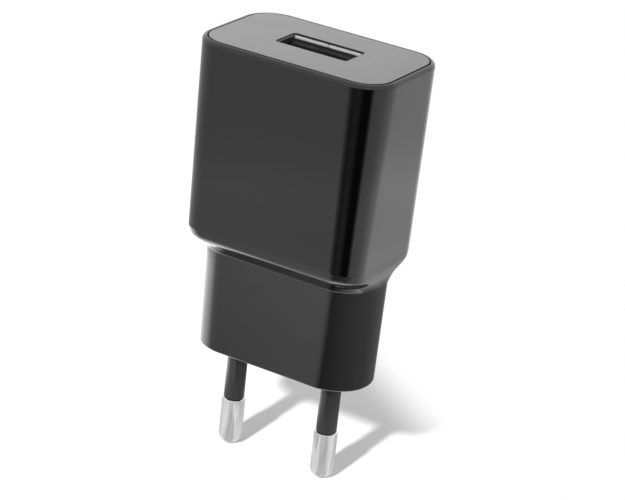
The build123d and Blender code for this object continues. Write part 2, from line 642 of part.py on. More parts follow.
def make_usb_shell():
    """The folded metal shell: closed back, a seam along its front wall, windows for the springs."""
    shell = shell_bar(SHELL_SHEET, SHELL_BACK_Z, SHELL_MOUTH_Z)
    shell -= shell_bar(0.001, SHELL_BACK_Z + SHELL_SHEET, SHELL_MOUTH_Z + 1)
    front_y = (SHELL_FRONT_WALL_Y - 1, SHELL_FRONT_WALL_Y + 0.2)
    back_y = (SHELL_BACK_WALL_Y - 0.2, SHELL_BACK_WALL_Y + 1)
    shell -= block((-SEAM_WIDTH / 2, SEAM_WIDTH / 2), front_y, (SHELL_BACK_Z + 1, SHELL_MOUTH_Z + 1))
    half = SPRING_WIDTH / 2 + SPRING_SLOT
    window_z = (SPRING_HINGE_Z - SHELL_SHEET, SPRING_TIP_Z + SPRING_SLOT)
    for x in SPRING_XS:
        for wall in (front_y, back_y):
            shell -= block((x - half, x + half), wall, window_z)
    # slots under the back wall let the contact tails reach the board
    for x in CONTACT_XS:
        shell -= block((x - 0.7, x + 0.7), back_y, (TAIL_Z - 0.5, TAIL_Z + 0.5))
    for side, x in zip((-1, 1), SHELL_LEG_XS):
        leg_x = tuple(sorted((x - side * 0.15, x + side * 0.15)))
        leg_y = (USB_Y, BOARD_BACK_Y + 0.8)
        shell += block(leg_x, leg_y, (SHELL_LEG_Z - 0.9, SHELL_LEG_Z + 0.9))
    return shell


def make_usb_insulator():
    """The moulded insulator: a base that fills the shell's back, and the tongue with four grooves."""
    base = shell_bar(-TOUCH, SHELL_BACK_Z + SHELL_SHEET + TOUCH, BASE_TOP_Z)
    tongue_y = (TONGUE_BACK_Y, TONGUE_FACE_Y)
    tongue = block((-TONGUE_WIDTH / 2, TONGUE_WIDTH / 2), tongue_y, (BASE_TOP_Z - 1, TONGUE_TOP_Z))
    top_edges = tongue.faces().sort_by(Axis.Z)[-1].edges().filter_by(Axis.X)
    body = base + chamfer(top_edges, 0.35)
    half = GROOVE_WIDTH / 2
    for x in CONTACT_XS:
        groove_y = (TONGUE_FACE_Y - GROOVE_DEPTH, TONGUE_FACE_Y + 1)
        body -= block((x - half, x + half), groove_y, (CONTACT_HINGE_Z - 0.7, TONGUE_TOP_Z - 0.4))
        slot_y = (TONGUE_FACE_Y - GROOVE_DEPTH, TONGUE_FACE_Y)
        body -= block((x - half, x + half), slot_y, (TAIL_Z - 0.5, CONTACT_HINGE_Z))
        back_y = (TONGUE_FACE_Y - GROOVE_DEPTH, SHELL_BACK_WALL_Y + 1)
        body -= block((x - half, x + half), back_y, (TAIL_Z - 0.5, TAIL_Z + 0.5))
    return body


def contact_hinge_y():
    return TONGUE_FACE_Y - 0.45


def make_usb_contact(x):
    """The springy end of one contact: a round root at the bend, then a bowed blade."""
    root_y = contact_hinge_y()
    crest_y = TONGUE_FACE_Y + CONTACT_BOW - CONTACT_SHEET / 2
    points = [
        (root_y, CONTACT_HINGE_Z),
        (crest_y, CONTACT_CREST_Z - 0.4),
        (crest_y, CONTACT_CREST_Z + 0.4),
        (TONGUE_FACE_Y - 0.25, TONGUE_TOP_Z - 0.7),
    ]
    blade = strip(points, CONTACT_SHEET, x, CONTACT_WIDTH)
    return blade + rod_x(root_y, CONTACT_HINGE_Z, x - CONTACT_WIDTH / 2, x + CONTACT_WIDTH / 2, 0.4)


def make_usb_contact_tails():
    """The fixed ends of the four contacts, from the bend down through the base and into the board."""
    tails = []
    y = contact_hinge_y()
    half = CONTACT_SHEET / 2
    for x in CONTACT_XS:
        wide = (x - CONTACT_WIDTH / 2, x + CONTACT_WIDTH / 2)
        tail = block(wide, (y - half, y + half), (TAIL_Z - half, CONTACT_HINGE_Z - 0.2 - TOUCH))
        narrow = (x - 0.2, x + 0.2)
        tail += block(narrow, (y - half, BOARD_BACK_Y + LEAD_PROUD), (TAIL_Z - half, TAIL_Z + half))
        tails.append(tail)
    return Compound(children=tails)


def make_shell_springs(wall_y, outward):
    """Two spring tabs of one shell wall: round roots, blades bowed into the socket."""
    springs = []
    middle = wall_y + outward * SHELL_SHEET / 2
    bow = middle - outward * SPRING_BOW
    points = [(middle, SPRING_HINGE_Z), (bow, 50.0), (bow, 50.6), (middle, SPRING_TIP_Z)]
    for x in SPRING_XS:
        blade = strip(points, SHELL_SHEET * 0.8, x, SPRING_WIDTH)
        ends = (x - SPRING_WIDTH / 2, x + SPRING_WIDTH / 2)
        springs.append(blade + rod_x(middle, SPRING_HINGE_Z, *ends, SHELL_SHEET))
    return Compound(children=springs)


# ---------- write every node ----------
nodes = {
    "housing": make_housing(),
    "face_plate": make_face_plate(),
    "pin_left": make_pin(PIN_XS[0]),
    "pin_right": make_pin(PIN_XS[1]),
    "sleeve_left": make_sleeve(PIN_XS[0]),
    "sleeve_right": make_sleeve(PIN_XS[1]),
    "pin_carrier": make_pin_carrier(),
}
board_assembly = {
    "mains_contact_left": make_mains_contact(PIN_XS[1]),
    "mains_contact_right": make_mains_contact(PIN_XS[0]),
    "main_board": make_main_board(),
    "solder_joints": make_solder_joints(),
    "component_leads": make_component_leads(),
    "fusible_resistor": make_fusible_resistor(),
    "choke_core": make_choke_core(),
    "choke_winding": make_choke_winding(),
    "bridge_rectifier": make_package(*BRIDGE_RECTIFIER),
    "input_capacitor_left": make_electrolytic(CAPACITOR_X, *INPUT_CAPACITOR, 11.0),
    "input_capacitor_right": make_electrolytic(-CAPACITOR_X, *INPUT_CAPACITOR, 12.0),
    "transformer_core": make_transformer_core(),
    "transformer_bobbin": make_transformer_bobbin(),
    "primary_winding": winding(*PRIMARY_WINDING),
    "secondary_winding": winding(*SECONDARY_WINDING),
    "winding_tape": winding(*WINDING_TAPE),
    "controller_chip": make_package(*CONTROLLER_CHIP, off_board=0.15),
    "clamp_diode": make_package(*CLAMP_DIODE),
    "output_diode": make_package(*OUTPUT_DIODE),
    "safety_capacitor": make_safety_capacitor(),
    "output_capacitor": make_electrolytic(CAPACITOR_X, *OUTPUT_CAPACITOR, 10.5),
    "chip_resistors": make_chip_parts(RESISTOR_PLACES, CHIP_RESISTOR_SIZE),
    "chip_capacitors": make_chip_parts(CHIP_CAPACITOR_PLACES, CHIP_CAPACITOR_SIZE),
    "insulation_sheet": make_insulation_sheet(),
    "usb_shell": make_usb_shell(),
    "usb_insulator": make_usb_insulator(),
    "usb_contact_tails": make_usb_contact_tails(),
    "shell_springs_front": make_shell_springs(SHELL_BACK_WALL_Y, 1),
    "shell_springs_back": make_shell_springs(SHELL_FRONT_WALL_Y, -1),
}
for number, contact_x in enumerate(reversed(CONTACT_XS), start=1):
    board_assembly[f"usb_contact_{number}"] = make_usb_contact(contact_x)
for name, shape in board_assembly.items():
    nodes[name] = BOARD_TURN * shape

os.makedirs("parts", exist_ok=True)
for name, shape in nodes.items():
    export_step(shape, f"parts/{name}.step")
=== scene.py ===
import json
import math

import bmesh
import bpy
from mathutils import Matrix, Vector


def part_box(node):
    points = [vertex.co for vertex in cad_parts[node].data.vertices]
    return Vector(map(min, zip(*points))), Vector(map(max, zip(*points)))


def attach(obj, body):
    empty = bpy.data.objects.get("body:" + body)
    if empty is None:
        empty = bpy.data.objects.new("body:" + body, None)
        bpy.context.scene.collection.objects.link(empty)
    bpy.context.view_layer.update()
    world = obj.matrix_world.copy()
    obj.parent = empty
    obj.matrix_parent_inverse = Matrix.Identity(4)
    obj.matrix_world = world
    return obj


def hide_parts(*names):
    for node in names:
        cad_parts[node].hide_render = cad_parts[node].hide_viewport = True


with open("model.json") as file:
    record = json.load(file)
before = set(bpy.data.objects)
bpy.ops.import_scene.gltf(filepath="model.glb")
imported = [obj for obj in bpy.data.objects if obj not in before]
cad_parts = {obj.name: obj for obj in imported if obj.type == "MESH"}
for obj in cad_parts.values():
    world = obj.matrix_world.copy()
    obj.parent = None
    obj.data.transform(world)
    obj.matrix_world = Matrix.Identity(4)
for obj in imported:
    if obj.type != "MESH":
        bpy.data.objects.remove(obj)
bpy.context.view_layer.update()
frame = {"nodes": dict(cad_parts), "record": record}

# Lengths below are in millimetres in the frame of the CAD model, unless a name says otherwise.
MM = 0.001
BODY = "charger"
SHARP_ANGLE = math.radians(32)
WELD_DISTANCE = 1e-7          # metres
LEAST_CORNER = 0.05

# How finely the meshes are divided.
CORNER_STEPS = 16             # points round each corner of a rounded rectangle
SIDE_STEPS = 6                # parts of each of its straight sides
LATHE_STEPS = 72
HOLE_STEPS = 48
FILLET_STEPS = 8
SLOPE_STEPS = 20
OVERHANG_STEPS = 24
PLUG_STEPS = 9
BLOCK_STEPS = 13
RIM_STEPS = 10
MOUTH_STEPS = 6
PLATE_EDGE_STEPS = 6
PORT_BEVEL_STEPS = 5
NOSE_STEPS = 14
BEAD_STEPS = 5

# ---------- housing: sizes of the CAD model ----------
PLUG_LOW = (32.0, 13.56, 6.73)
PLUG_TOP = (32.45, 14.0, 6.73)
PLUG_EDGE_FILLET = 0.4
CREASE_Z = 17.86
SHOULDER_Z = 22.66
OVERHANG_RADIUS = 3.0
BLOCK_LOW = (32.88, 21.95, 4.4)
BLOCK_TOP_CORNER = 5.86
RIM_FILLET = 0.7
WALL = 1.8
TOP_WALL = 2.0
FLOOR = 2.2
HOLLOW_RISE = 0.3
PLATE_GAP = 0.15
PLATE_CORNER = 4.6
PLATE_THICKNESS = 2.0
PLATE_DROP = 0.05
PIN_HOLE_DIAMETER = 4.4

# Housing: softened edges that the CAD model leaves sharp or simpler.
CREASE_FILLET = 0.4
FLARE_START_Z = 18.85
FLARE_END_Z = 21.45
MOUTH_ROUND = (0.17, 0.35)    # across and down
RIM_CREST_DROP = 0.08


def box_mm(node):
    low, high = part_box(node)
    return [low[i] / MM for i in range(3)], [high[i] / MM for i in range(3)]


housing_high = box_mm("housing")[1]
plate_low, plate_high = box_mm("face_plate")
TOP_Z = housing_high[2]
BLOCK_TOP = (2 * housing_high[0], 2 * housing_high[1], BLOCK_TOP_CORNER)
PLATE = (2 * plate_high[0], 2 * plate_high[1], PLATE_CORNER)
PIN_X = sum(box_mm("pin_right")[i][0] for i in (0, 1)) / 2
PIN_TIP_Z = box_mm("pin_right")[0][2]
PORT_Y = next(m for m in frame["record"]["mounts"] if m["name"] == "usb_port")["pos_m"][1] / MM


# ---------- mesh helpers ----------
def mix(low, high, share):
    return tuple(a + (b - a) * share for a, b in zip(low, high))


def inset(outline, wall):
    width, depth, corner = outline
    return width - 2 * wall, depth - 2 * wall, max(corner - wall, LEAST_CORNER)


def ring(outline, z, y=0.0):
    """Points round a level rounded rectangle, anticlockwise, with extra points on its straight sides."""
    width, depth, corner = outline
    half_w, half_d = width / 2 - corner, depth / 2 - corner
    centres = ((half_w, half_d), (-half_w, half_d), (-half_w, -half_d), (half_w, -half_d))
    arcs = []
    for quarter, (cx, cy) in enumerate(centres):
        for step in range(CORNER_STEPS + 1):
            angle = math.pi / 2 * (quarter + step / CORNER_STEPS)
            arcs.append(Vector((cx + corner * math.cos(angle), cy + corner * math.sin(angle), 0)))
    points = []
    for i, point in enumerate(arcs):
        points.append(point)
        if i % (CORNER_STEPS + 1) == CORNER_STEPS:
            after = arcs[(i + 1) % len(arcs)]
            points += [point.lerp(after, step / SIDE_STEPS) for step in range(1, SIDE_STEPS)]
    return [Vector((p.x, p.y + y, z)) * MM for p in points]


def circle(x, y, z, diameter, steps):
    turns = [2 * math.pi * i / steps for i in range(steps)]
    radius = diameter / 2
    return [Vector((x + radius * math.cos(t), y + radius * math.sin(t), z)) * MM for t in turns]


def add_loops(bm, loops):
    """Adds closed loops of points and joins each to the next with quads; returns their vertices."""
    rows = [[bm.verts.new(point) for point in loop] for loop in loops]
    for low, high in zip(rows, rows[1:]):
        for i in range(len(low)):
            j = (i + 1) % len(low)
            bm.faces.new((low[i], low[j], high[j], high[i]))
    return rows


def loop_edges(bm, row):
    edges = []
    for i, vertex in enumerate(row):
        after = row[(i + 1) % len(row)]
        edges.append(bm.edges.get((vertex, after)) or bm.edges.new((vertex, after)))
    return edges


def fill_between(bm, outer, holes):
    """A flat face inside one loop of vertices, with other loops left open as holes."""
    edges = loop_edges(bm, outer)
    for hole in holes:
        edges += loop_edges(bm, hole)
    bmesh.ops.triangle_fill(bm, edges=edges, use_beauty=True)


def finish_mesh(bm, name):
    """Turns a bmesh into an object with smooth shading that breaks only at sharp edges."""
    bmesh.ops.recalc_face_normals(bm, faces=bm.faces)
    mesh = bpy.data.meshes.new(name)
    bm.to_mesh(mesh)
    bm.free()
    return shade(link(mesh, name))


def link(mesh, name):
    piece = bpy.data.objects.new(name, mesh)
    bpy.context.scene.collection.objects.link(piece)
    return piece


def shade(piece):
    piece.data.shade_smooth()
    piece.data.set_sharp_from_angle(angle=SHARP_ANGLE)
    weighted = piece.modifiers.new("even_normals", "WEIGHTED_NORMAL")
    weighted.keep_sharp = True
    return piece


def arc(centre, radius, start, end, steps):
    """Points (across, up) on an arc between two angles in degrees, 0 being outwards and 90 up."""
    points = []
    for i in range(steps + 1):
        angle = math.radians(start + (end - start) * i / steps)
        points.append((centre[0] + radius * math.cos(angle), centre[1] + radius * math.sin(angle)))
    return points


def lathe(name, x, profile):
    """A body of revolution about an upright axis from a closed (radius, z) profile."""
    bm = bmesh.new()
    loops = [circle(x, 0, z, 2 * radius, LATHE_STEPS) for radius, z in profile]
    rows = add_loops(bm, loops)
    first, last = rows[0], rows[-1]
    if profile[0] == profile[-1]:
        bmesh.ops.remove_doubles(bm, verts=first + last, dist=WELD_DISTANCE)
    else:
        bm.faces.new(first)
        bm.faces.new(last)
    return finish_mesh(bm, name)


# ---------- housing ----------
def overhang_angle():
    rise = SHOULDER_Z - CREASE_Z
    reach = BLOCK_LOW[1] / 2 - PLUG_TOP[1] / 2 - OVERHANG_RADIUS
    return math.atan2(reach, rise) + math.asin(OVERHANG_RADIUS / math.hypot(reach, rise))


def flare_share(z):
    """How far the plug's width and corners have turned into the block's: a smooth step over height."""
    t = min(max((z - FLARE_START_Z) / (FLARE_END_Z - FLARE_START_Z), 0), 1)
    return t ** 3 * (6 * t * t - 15 * t + 10)


def underside_profile():
    """(half depth, z) up the middle of the underside: the fillet in the crease, the slope, the rounding."""
    tilt = overhang_angle()
    tilt_degrees = math.degrees(tilt)
    setback = CREASE_FILLET * math.tan(tilt / 2)
    crease = (PLUG_TOP[1] / 2 + CREASE_FILLET, CREASE_Z - setback)
    points = arc(crease, CREASE_FILLET, 180, 180 - tilt_degrees, FILLET_STEPS)
    shoulder = (BLOCK_LOW[1] / 2 - OVERHANG_RADIUS, SHOULDER_Z)
    rounding = arc(shoulder, OVERHANG_RADIUS, -tilt_degrees, 0, OVERHANG_STEPS)
    slope_start, slope_end = points[-1], rounding[0]
    for i in range(1, SLOPE_STEPS):
        points.append(mix(slope_start, slope_end, i / SLOPE_STEPS))
    return points + rounding


def outer_loops():
    """The outside of the housing from the plug's face up to the rim."""
    loops = []
    for across, z in arc((0, PLUG_EDGE_FILLET), PLUG_EDGE_FILLET, -90, 0, FILLET_STEPS):
        loops.append(ring(inset(PLUG_LOW, PLUG_EDGE_FILLET - across), z))
    underside = underside_profile()
    crease_start = underside[0][1]
    for i in range(1, PLUG_STEPS):
        share = i / PLUG_STEPS
        z = PLUG_EDGE_FILLET + (crease_start - PLUG_EDGE_FILLET) * share
        loops.append(ring(mix(PLUG_LOW, PLUG_TOP, z / CREASE_Z), z))
    for half_depth, z in underside:
        flare = flare_share(z)
        width = PLUG_TOP[0] + (BLOCK_LOW[0] - PLUG_TOP[0]) * flare
        corner = PLUG_TOP[2] + (BLOCK_LOW[2] - PLUG_TOP[2]) * flare
        loops.append(ring((width, 2 * half_depth, corner), z))
    rim_start = TOP_Z - RIM_CREST_DROP - RIM_FILLET
    for i in range(1, BLOCK_STEPS):
        z = SHOULDER_Z + (rim_start - SHOULDER_Z) * i / BLOCK_STEPS
        share = (z - SHOULDER_Z) / (TOP_Z - SHOULDER_Z)
        loops.append(ring(mix(BLOCK_LOW, BLOCK_TOP, share), z))
    for across, z in arc((0, rim_start), RIM_FILLET, 0, 90, RIM_STEPS):
        loops.append(ring(inset(BLOCK_TOP, RIM_FILLET - across), z))
    return loops


def inner_loops():
    """The inside, from the mouth that holds the face plate down to the floor between the pins."""
    mouth = inset(PLATE, -PLATE_GAP)
    crest_z = TOP_Z - RIM_CREST_DROP
    seat_z = TOP_Z - PLATE_DROP - PLATE_THICKNESS
    hollow_top = inset(BLOCK_TOP, TOP_WALL)
    hollow_low = inset(BLOCK_LOW, WALL)
    low_z = SHOULDER_Z + HOLLOW_RISE
    plug_hollow = inset(PLUG_LOW, WALL)
    loops = []
    for across, rise in arc((0, 0), 1, 90, 0, MOUTH_STEPS):
        edge = inset(mouth, (across - 1) * MOUTH_ROUND[0])
        loops.append(ring(edge, crest_z + (rise - 1) * MOUTH_ROUND[1]))
    return loops + [
        ring(mouth, seat_z),
        ring(hollow_top, seat_z),
        ring(hollow_low, low_z),
        ring(plug_hollow, low_z),
        ring(plug_hollow, FLOOR),
    ]


def make_housing():
    """The one-piece shell and its hollow, without the rails and stakes hidden inside."""
    bm = bmesh.new()
    rows = add_loops(bm, outer_loops() + inner_loops())
    low_holes, high_holes = [], []
    for x in (-PIN_X, PIN_X):
        hole = [circle(x, 0, z, PIN_HOLE_DIAMETER, HOLE_STEPS) for z in (0, FLOOR)]
        low, high = add_loops(bm, hole)
        low_holes.append(low)
        high_holes.append(high)
    fill_between(bm, rows[0], low_holes)
    fill_between(bm, rows[-1], high_holes)
    return finish_mesh(bm, "housing_shell")


# ---------- face plate ----------
PORT = (13.2, 6.05, 0.6)
PLATE_EDGE_FILLET = 0.12
PLATE_PROUD = 0.03            # above the CAD model's plate
PORT_BEVEL = 0.14
PORT_LAND = 0.4               # the opening's upright wall just below its bevel
SKIRT_PLAY = 0.25
SKIRT_WALL = 1.1
SKIRT_DEPTH = 2.4


def make_face_plate():
    """The plate with its softly rounded edge, a skirt below, and the bevelled opening for the socket."""
    top = plate_high[2] + PLATE_PROUD
    under = plate_high[2] - PLATE_THICKNESS
    skirt = inset(BLOCK_TOP, TOP_WALL + SKIRT_PLAY)
    loops = []
    for across, z in arc((0, top - PLATE_EDGE_FILLET), PLATE_EDGE_FILLET, 90, 0, PLATE_EDGE_STEPS):
        loops.append(ring(inset(PLATE, PLATE_EDGE_FILLET - across), z))
    loops += [
        ring(PLATE, under),
        ring(skirt, under),
        ring(skirt, under - SKIRT_DEPTH),
        ring(inset(skirt, SKIRT_WALL), under - SKIRT_DEPTH),
        ring(inset(skirt, SKIRT_WALL), under),
        ring(PORT, under, PORT_Y),
        ring(PORT, top - PORT_BEVEL - PORT_LAND, PORT_Y),
    ]
    for across, z in arc((0, top - PORT_BEVEL), PORT_BEVEL, 0, 90, PORT_BEVEL_STEPS):
        loops.append(ring(inset(PORT, across - PORT_BEVEL), z, PORT_Y))
    bm = bmesh.new()
    rows = add_loops(bm, loops + [loops[0]])
    bmesh.ops.remove_doubles(bm, verts=rows[0] + rows[-1], dist=WELD_DISTANCE)
    return finish_mesh(bm, "face_plate_moulding")


# ---------- pins and sleeves ----------
PIN_RADIUS = 2.0
PIN_NOSE = 1.68
PIN_BEVEL = 0.22
PIN_BEVEL_KNEE = (0.06, 0.08)      # in from the side and down from the top
PIN_SIDE_RING = 2.5                # height above the nose of an extra ring of points on the side
PIN_SHANK_RADIUS = 1.35
PIN_FLANGE_RADIUS = 2.7
PIN_FLANGE_Z = (3.42, 4.42)
PIN_TAIL_Z = 12.0
PIN_TAIL_BEVEL = 0.3
SLEEVE_RADIUS = 1.75
SLEEVE_END_Z = -10.45
SLEEVE_END_ROUND = 0.15
SLEEVE_END_KNEE = 0.05
SLEEVE_SIDE_RING = 4               # as PIN_SIDE_RING, above the sleeve's end
COLLAR_ROOT_RADIUS = 2.15
COLLAR_TIP_RADIUS = 1.9
COLLAR_LENGTH = 1.8
COLLAR_BEAD = 0.1
SLEEVE_FLANGE_RADIUS = 3.5
SLEEVE_FLANGE_TOP = 3.4
TOUCH = 0.02


def make_pin(name, x):
    """A turned pin: round nose, bevelled shoulder, thinner shank through the sleeve, flange, tail."""
    head_top = SLEEVE_END_Z - TOUCH
    flat = PIN_RADIUS - PIN_NOSE
    profile = arc((flat, PIN_TIP_Z + PIN_NOSE), PIN_NOSE, -90, 0, NOSE_STEPS)
    profile += [
        (PIN_RADIUS, PIN_TIP_Z + PIN_NOSE + PIN_SIDE_RING),
        (PIN_RADIUS, head_top - PIN_BEVEL),
        (PIN_RADIUS - PIN_BEVEL_KNEE[0], head_top - PIN_BEVEL_KNEE[1]),
        (PIN_RADIUS - PIN_BEVEL, head_top),
        (PIN_SHANK_RADIUS, head_top),
        (PIN_SHANK_RADIUS, PIN_FLANGE_Z[0]),
        (PIN_FLANGE_RADIUS, PIN_FLANGE_Z[0]),
        (PIN_FLANGE_RADIUS, PIN_FLANGE_Z[1]),
        (PIN_SHANK_RADIUS, PIN_FLANGE_Z[1]),
        (PIN_SHANK_RADIUS, PIN_TAIL_Z - PIN_TAIL_BEVEL),
        (PIN_SHANK_RADIUS - PIN_TAIL_BEVEL, PIN_TAIL_Z),
    ]
    return lathe(name, x, profile)


def make_sleeve(name, x):
    """The moulded sleeve: tapered collar ending in a fine bead, and a flange inside the housing."""
    bore = PIN_SHANK_RADIUS + TOUCH
    profile = [
        (bore, SLEEVE_END_Z),
        (SLEEVE_RADIUS - SLEEVE_END_ROUND, SLEEVE_END_Z),
        (SLEEVE_RADIUS - SLEEVE_END_KNEE, SLEEVE_END_Z + SLEEVE_END_KNEE),
        (SLEEVE_RADIUS, SLEEVE_END_Z + SLEEVE_END_ROUND),
        (SLEEVE_RADIUS, SLEEVE_END_Z + SLEEVE_SIDE_RING),
        (SLEEVE_RADIUS, -COLLAR_LENGTH - COLLAR_BEAD),
    ]
    profile += arc((COLLAR_TIP_RADIUS - COLLAR_BEAD, -COLLAR_LENGTH), COLLAR_BEAD, -90, 10, BEAD_STEPS)
    profile += [
        (COLLAR_ROOT_RADIUS, 0),
        (COLLAR_ROOT_RADIUS, FLOOR + TOUCH),
        (SLEEVE_FLANGE_RADIUS, FLOOR + TOUCH),
        (SLEEVE_FLANGE_RADIUS, SLEEVE_FLANGE_TOP),
        (bore, SLEEVE_FLANGE_TOP),
        (bore, SLEEVE_END_Z),
    ]
    return lathe(name, x, profile)


# ---------- materials ----------
def new_material(name):
    material = bpy.data.materials.new(name)
    material.use_nodes = True
    return material, material.node_tree, material.node_tree.nodes["Principled BSDF"]


def add(tree, kind, **values):
    """Adds a shader node; values set its properties, or its inputs by name."""
    node = tree.nodes.new(kind)
    for key, value in values.items():
        if hasattr(node, key):
            setattr(node, key, value)
        else:
            node.inputs[key.replace("_", " ").title()].default_value = value
    return node


def math_node(tree, operation, *inputs):
    """A math node; each input is a number or another node's output."""
    node = add(tree, "ShaderNodeMath", operation=operation)
    for socket, value in zip(node.inputs, inputs):
        if isinstance(value, (int, float)):
            socket.default_value = value
        else:
            tree.links.new(value, socket)
    return node.outputs["Value"]


def map_range(tree, value, low, high, interpolation="LINEAR"):
    """Maps low..high onto 0..1, clamped."""
    node = add(tree, "ShaderNodeMapRange", interpolation_type=interpolation)
    node.inputs["From Min"].default_value = low
    node.inputs["From Max"].default_value = high
    tree.links.new(value, node.inputs["Value"])
    return node.outputs["Result"]


def blend(tree, share, first, second):
    """Mixes two colours, or two numbers given as greys."""
    node = add(tree, "ShaderNodeMix", data_type="RGBA")
    tree.links.new(share, node.inputs["Factor"])
    for socket, value in zip((node.inputs[6], node.inputs[7]), (first, second)):
        if isinstance(value, (int, float)):
            socket.default_value = (value, value, value, 1)
        else:
            tree.links.new(value, socket)
    return node.outputs[2]


def product(tree, first, second):
    """Two colours multiplied."""
    node = add(tree, "ShaderNodeMix", data_type="RGBA", blend_type="MULTIPLY")
    node.inputs["Factor"].default_value = 1
    tree.links.new(first, node.inputs[6])
    tree.links.new(second, node.inputs[7])
    return node.outputs[2]


def components(tree, vector):
    """The X, Y and Z outputs of a vector."""
    node = tree.nodes.new("ShaderNodeSeparateXYZ")
    tree.links.new(vector, node.inputs["Vector"])
    return node.outputs["X"], node.outputs["Y"], node.outputs["Z"]


def object_point(tree, stretch=(1, 1, 1)):
    """Object coordinates, stretched per axis, as the input of a texture."""
    place = tree.nodes.new("ShaderNodeTexCoord")
    mapping = tree.nodes.new("ShaderNodeMapping")
    mapping.inputs["Scale"].default_value = stretch
    tree.links.new(place.outputs["Object"], mapping.inputs["Vector"])
    return mapping.outputs["Vector"]


def noise(tree, grain_mm, detail=3.0, stretch=(1, 1, 1)):
    """Noise whose lumps are about grain_mm across."""
    node = add(tree, "ShaderNodeTexNoise", Scale=1 / (grain_mm * MM), Detail=detail)
    tree.links.new(object_point(tree, stretch), node.inputs["Vector"])
    return node.outputs["Fac"]


def ramp(tree, value, stops):
    """A colour ramp with (place, grey or colour) stops."""
    node = tree.nodes.new("ShaderNodeValToRGB")
    elements = node.color_ramp.elements
    while len(elements) < len(stops):
        elements.new(0.5)
    for element, (place, colour) in zip(elements, stops):
        element.position = place
        element.color = (*colour, 1) if isinstance(colour, tuple) else (colour, colour, colour, 1)
    tree.links.new(value, node.inputs["Fac"])
    return node.outputs["Color"]


def bump(tree, shader, height, strength, distance_mm):
    node = add(tree, "ShaderNodeBump", Strength=strength, Distance=distance_mm * MM)
    tree.links.new(height, node.inputs["Height"])
    tree.links.new(node.outputs["Normal"], shader.inputs["Normal"])


def scaled(colour, factor):
    return tuple(min(channel * factor, 1) for channel in colour)


def surface(name, colour, roughness, metallic=0.0, grain_mm=0.4, variation=0.12, relief=0.15, relief_mm=0.01,
            stretch=(1, 1, 1), ior=1.5):
    """A material whose colour and roughness vary a little over noise, with a matching relief."""
    material, tree, shader = new_material(name)
    shader.inputs["Metallic"].default_value = metallic
    shader.inputs["IOR"].default_value = ior
    grain = noise(tree, grain_mm, 4, stretch)
    tint = ramp(tree, grain, ((0.3, scaled(colour, 1 - variation)), (0.7, scaled(colour, 1 + variation))))
    tree.links.new(tint, shader.inputs["Base Color"])
    patches = noise(tree, grain_mm * 12, 2)
    rough = ramp(tree, patches, ((0.3, roughness * 0.85), (0.7, roughness * 1.15)))
    tree.links.new(rough, shader.inputs["Roughness"])
    bump(tree, shader, grain, relief, relief_mm)
    return material


def gloss_black_plastic(name):
    """Deep black polished moulding: faint handling haze in its gloss and a very shallow moulding wave."""
    material, tree, shader = new_material(name)
    shader.inputs["Base Color"].default_value = (0.0012, 0.0012, 0.0013, 1)
    shader.inputs["IOR"].default_value = 1.5
    haze = noise(tree, 7.0, 5)
    rough = ramp(tree, haze, ((0.35, 0.035), (0.75, 0.07)))
    tree.links.new(rough, shader.inputs["Roughness"])
    bump(tree, shader, noise(tree, 5.0, 1), 0.10, 0.02)
    return material


def satin_black_plastic(name):
    """Fine spark-eroded texture on the plate's top, with painted shade darkening it towards the right; every
    edge and side polished.
    """
    material, tree, shader = new_material(name)
    geometry = tree.nodes.new("ShaderNodeNewGeometry")
    facing_z = components(tree, geometry.outputs["True Normal"])[2]
    on_top = map_range(tree, facing_z, 0.80, 0.95)
    spark = noise(tree, 0.12, 4)
    tint = ramp(tree, spark, ((0.3, (0.138, 0.138, 0.140)), (0.7, (0.158, 0.158, 0.160))))
    # painted shade: the top's colour falls off towards the right, a fall of light painted into it
    x = components(tree, geometry.outputs["Position"])[0]
    along = map_range(tree, x, plate_low[0] * MM, plate_high[0] * MM)
    painted_falloff = ramp(tree, along, ((0.0, 1.0), (1.0, 0.74)))
    top_tint = product(tree, tint, painted_falloff)
    tree.links.new(blend(tree, on_top, 0.003, top_tint), shader.inputs["Base Color"])
    cloud = ramp(tree, noise(tree, 6.0, 3), ((0.3, 0.30), (0.7, 0.36)))
    tree.links.new(blend(tree, on_top, 0.12, cloud), shader.inputs["Roughness"])
    bump(tree, shader, spark, 0.12, 0.01)
    return material


def nickel_plate(name):
    """Bright plate over turned brass: lengthwise polishing marks and faint turning lines."""
    material, tree, shader = new_material(name)
    shader.inputs["Metallic"].default_value = 1.0
    streaks = noise(tree, 0.35, 5, (1, 1, 0.06))
    tint = ramp(tree, streaks, ((0.35, (0.62, 0.62, 0.62)), (0.65, (0.82, 0.82, 0.82))))
    tree.links.new(tint, shader.inputs["Base Color"])
    rough = ramp(tree, noise(tree, 0.9, 3, (1, 1, 0.3)), ((0.3, 0.10), (0.7, 0.18)))
    tree.links.new(rough, shader.inputs["Roughness"])
    turning = noise(tree, 0.25, 2, (0.1, 0.1, 1))
    bump(tree, shader, turning, 0.08, 0.01)
    return material


UNSHADED_ABOVE = 0.60           # depth below the rim down to which the socket's shell has no painted shade
SHADED_BELOW = 0.80             # depth from which painted shade darkens it fully
